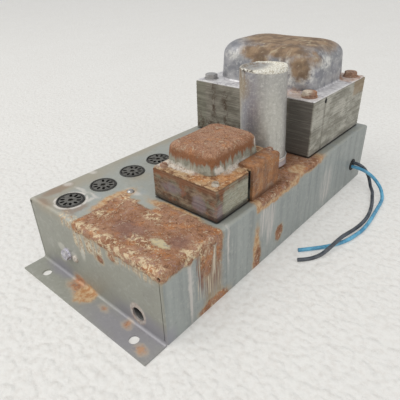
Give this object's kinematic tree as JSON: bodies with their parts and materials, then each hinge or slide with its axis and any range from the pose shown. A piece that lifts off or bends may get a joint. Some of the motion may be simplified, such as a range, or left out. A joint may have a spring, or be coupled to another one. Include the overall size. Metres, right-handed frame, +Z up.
{
  "type": "tube amplifier",
  "caption": "Weathered steel valve-amplifier chassis with two transformers, a can capacitor, a row of empty valve sockets and loose mains wires.",
  "frame": {"origin": "middle of the footprint on the bench, foot flange included and free wires left out", "axes": "+X across the chassis towards the wall the wires leave, +Y from the flanged end to the far end, +Z up from the bench"},
  "size_m": [0.1698, 0.286, 0.1289],
  "materials": {
    "chassis_steel": "galvanised, weathered and rusted",
    "socket_bakelite": "moulded, dusty",
    "contact_metal": "tinned, dull",
    "plated_steel": "plated, tarnished",
    "screw_zinc": "bright zinc",
    "power_laminations": "stacked sheet, varnished and rusting",
    "power_bell_zinc": "galvanised, mottled, rust patches",
    "output_laminations": "stacked sheet, rusted",
    "output_bell_rust": "pressed sheet, rusted brown",
    "clamp_steel": "bent strap, rusted",
    "bobbin_card": "pressed card",
    "coil_wrap": "waxed paper wrap",
    "lead_insulation": "insulated wire",
    "can_aluminium": "drawn can, stained",
    "can_ring_metal": "crimped ring, dull",
    "winding_foil": "foil roll",
    "phenolic": "brown laminate",
    "resistor_body": "moulded body",
    "capacitor_body": "dipped body",
    "dropper_ceramic": "glazed ceramic",
    "grommet_rubber": "aged rubber",
    "blue_insulation": "flexible insulation, soft sheen",
    "black_insulation": "flexible insulation, soft sheen"
  },
  "bodies": {
    "root": {"chassis": "chassis_steel", "socket_1": "socket_bakelite", "socket_2": "socket_bakelite", "socket_3": "socket_bakelite", "socket_4": "socket_bakelite", "socket_contacts_1": "contact_metal", "socket_contacts_2": "contact_metal", "socket_contacts_3": "contact_metal", "socket_contacts_4": "contact_metal", "socket_rings": "plated_steel", "power_core": "power_laminations", "power_bell_top": "power_bell_zinc", "power_bell_bottom": "power_bell_zinc", "power_bobbin": "bobbin_card", "power_coil": "coil_wrap", "power_bolts": "plated_steel", "power_washers": "plated_steel", "power_nuts": "plated_steel", "power_leads": "lead_insulation", "output_core": "output_laminations", "output_bell_top": "output_bell_rust", "output_bell_bottom": "output_bell_rust", "output_bobbin": "bobbin_card", "output_coil": "coil_wrap", "output_clamp": "clamp_steel", "output_screws": "plated_steel", "output_nuts": "plated_steel", "output_leads": "lead_insulation", "can_capacitor": "can_aluminium", "can_base_ring": "can_ring_metal", "can_winding": "winding_foil", "can_base_disc": "phenolic", "can_wafer": "phenolic", "can_lugs": "contact_metal", "panel_screw": "screw_zinc", "panel_nut": "plated_steel", "panel_rivet": "plated_steel", "strip_rivets": "plated_steel", "front_tag_strip": "phenolic", "front_tags": "contact_metal", "rear_tag_strip": "phenolic", "rear_tags": "contact_metal", "resistors": "resistor_body", "coupling_capacitors": "capacitor_body", "bias_capacitor": "capacitor_body", "dropper_resistor": "dropper_ceramic", "heater_wires": "lead_insulation", "wire_grommet": "grommet_rubber", "inner_leads": "lead_insulation", "wire_blue": "blue_insulation", "wire_black": "black_insulation"}
  },
  "joints": []
}
